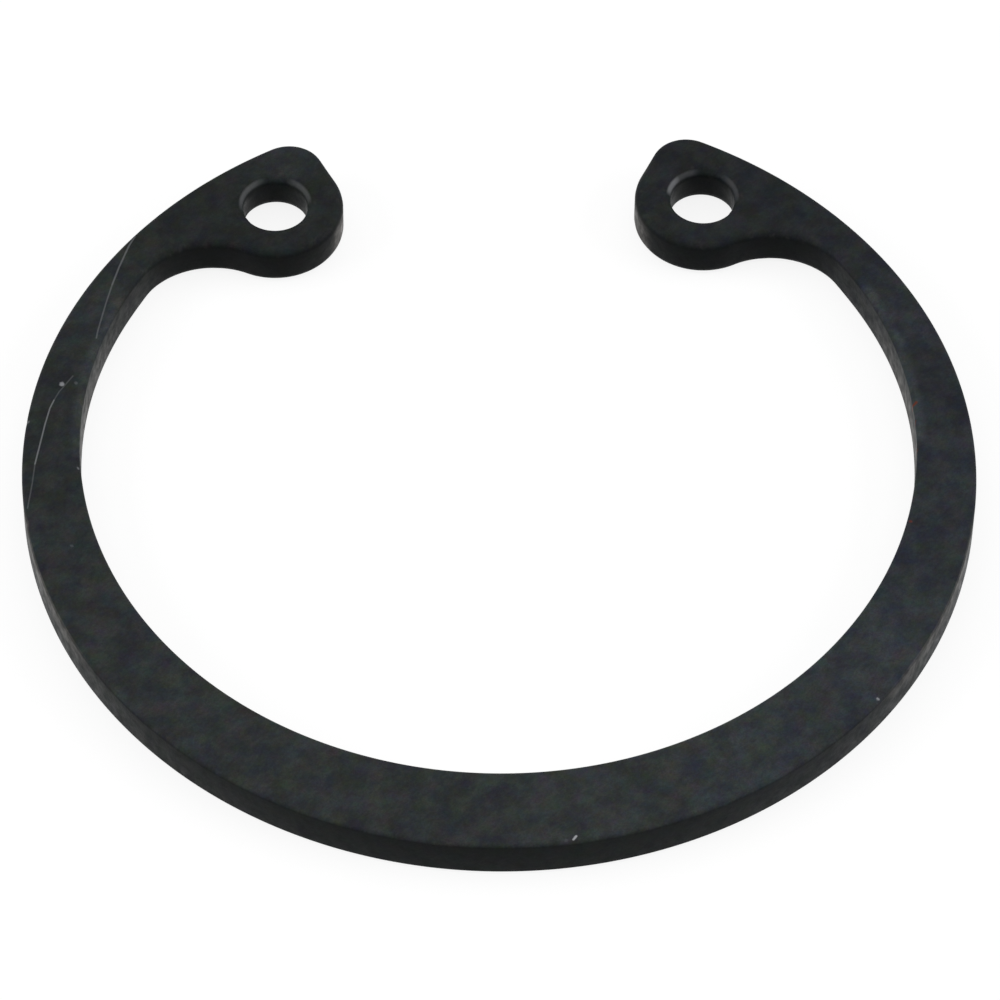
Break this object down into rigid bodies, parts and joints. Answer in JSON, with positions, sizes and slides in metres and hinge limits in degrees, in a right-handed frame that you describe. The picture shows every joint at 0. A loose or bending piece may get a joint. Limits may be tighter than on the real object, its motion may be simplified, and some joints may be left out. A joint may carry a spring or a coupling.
{
  "type": "internal retaining ring",
  "caption": "Internal circlip for a housing groove: an open eccentric spring ring, widest opposite its gap, with an inward lug and plier hole at each end.",
  "frame": {"origin": "where the axis of the round rim meets the underside", "axes": "+Z along the ring's axis, up from the underside; +Y from the axis to the middle of the gap between the lugs"},
  "size_m": [0.0434, 0.0411, 0.002],
  "materials": {
    "spring_steel": "blackened spring steel with a matt phosphate coat, lightly oiled"
  },
  "bodies": {
    "root": {"retaining_ring": "spring_steel"}
  },
  "joints": []
}
